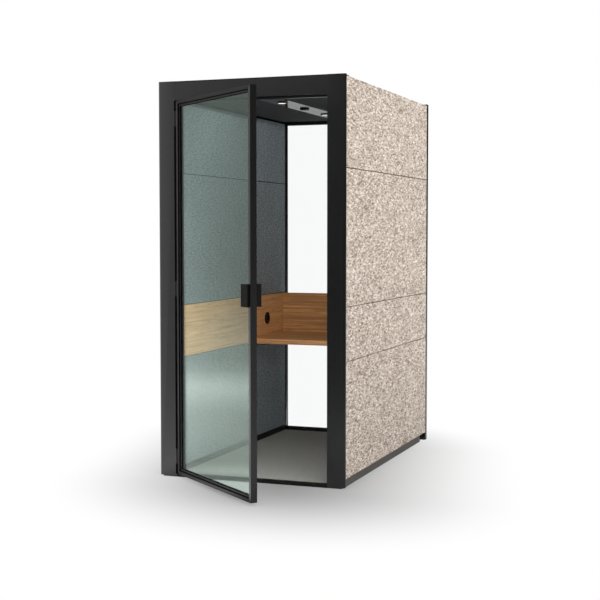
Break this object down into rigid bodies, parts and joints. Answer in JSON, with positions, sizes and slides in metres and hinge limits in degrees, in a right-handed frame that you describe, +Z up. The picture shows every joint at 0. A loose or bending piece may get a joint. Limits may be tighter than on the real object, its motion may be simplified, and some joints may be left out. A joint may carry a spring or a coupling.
{
  "type": "acoustic office pod",
  "caption": "Free-standing acoustic work pod with felt-clad walls, a hinged glass door, a rear window, a lined cabin with an oak desk, and a lit, ventilated ceiling on levelling feet.",
  "frame": {"origin": "on the floor, under the middle of the pod's footprint, on the underside of the floor panel", "axes": "+X to the right seen from the door, +Y from the door to the rear window, +Z up"},
  "size_m": [1.142, 2.399, 2.3],
  "materials": {
    "dark_metal": "satin anthracite powder coat",
    "felt": "mottled beige pressed felt",
    "fabric": "woven blue-grey upholstery cloth",
    "oak": "satin oak veneer",
    "grey_metal": "matt grey powder coat",
    "black_plastic": "fine matt black",
    "rubber": "matt black",
    "carpet": "short grey pile",
    "ceiling_felt": "dark felt",
    "gloss_strip": "polished dark grey",
    "steel": "plain steel angle",
    "core_board": "unfinished board",
    "lens": "opal diffuser",
    "glass": "clear laminated glass with a green edge"
  },
  "bodies": {
    "pod": {"base_beam_left": "grey_metal", "base_beam_right": "grey_metal", "carpet": "carpet", "ceiling_panel": "ceiling_felt", "ceiling_strip": "gloss_strip", "desk_bracket_left": "steel", "desk_bracket_right": "steel", "desk_top": "oak", "door_seal": "rubber", "downlight_front": "lens", "downlight_rear": "lens", "fan_housing": "black_plastic", "felt_left_band": "felt", "felt_left_lower": "felt", "felt_left_middle": "felt", "felt_left_upper": "felt", "felt_right_band": "felt", "felt_right_lower": "felt", "felt_right_middle": "felt", "felt_right_upper": "felt", "floor_panel": "core_board", "front_header": "dark_metal", "front_stile_left": "dark_metal", "front_stile_right": "dark_metal", "hinge_lower": "dark_metal", "hinge_middle": "dark_metal", "hinge_upper": "dark_metal", "lamp_driver": "black_plastic", "lining_left_band": "oak", "lining_left_lower": "fabric", "lining_left_middle": "fabric", "lining_left_upper": "fabric", "lining_right_band": "oak", "lining_right_lower": "fabric", "lining_right_middle": "fabric", "lining_right_upper": "fabric", "motion_sensor": "black_plastic", "power_inlet": "black_plastic", "power_socket": "black_plastic", "rear_board": "oak", "rear_glass": "glass", "rear_rail_bottom": "dark_metal", "rear_rail_top": "dark_metal", "rear_stile_left": "dark_metal", "rear_stile_right": "dark_metal", "roof_panel": "core_board", "threshold": "dark_metal", "wall_core_left": "core_board", "wall_core_right": "core_board"},
    "door": {"door_stile_hinge": "dark_metal", "door_stile_latch": "dark_metal", "door_rail_top": "dark_metal", "door_rail_bottom": "dark_metal", "door_glass": "glass", "door_handle": "dark_metal"},
    "fan": {"fan_rotor": "black_plastic"},
    "foot_front_left": {"foot_front_left": "black_plastic"},
    "foot_front_right": {"foot_front_right": "black_plastic"},
    "foot_rear_left": {"foot_rear_left": "black_plastic"},
    "foot_rear_right": {"foot_rear_right": "black_plastic"}
  },
  "joints": [
    {"name": "door_swing", "type": "hinge", "parent": "pod", "child": "door", "pos_m": [-0.46025, -0.897, 1.103], "axis": [0, 0, -1], "range_deg": [-39.5, 60]},
    {"name": "fan_spin", "type": "hinge", "parent": "pod", "child": "fan", "pos_m": [0, -0.18, 2.249], "axis": [0, 0, 1], "continuous": true},
    {"name": "level_front_left", "type": "slide", "parent": "pod", "child": "foot_front_left", "axis": [0, 0, -1], "range_m": [0, 0.015]},
    {"name": "level_front_right", "type": "slide", "parent": "pod", "child": "foot_front_right", "axis": [0, 0, -1], "range_m": [0, 0.015]},
    {"name": "level_rear_left", "type": "slide", "parent": "pod", "child": "foot_rear_left", "axis": [0, 0, -1], "range_m": [0, 0.015]},
    {"name": "level_rear_right", "type": "slide", "parent": "pod", "child": "foot_rear_right", "axis": [0, 0, -1], "range_m": [0, 0.015]}
  ]
}
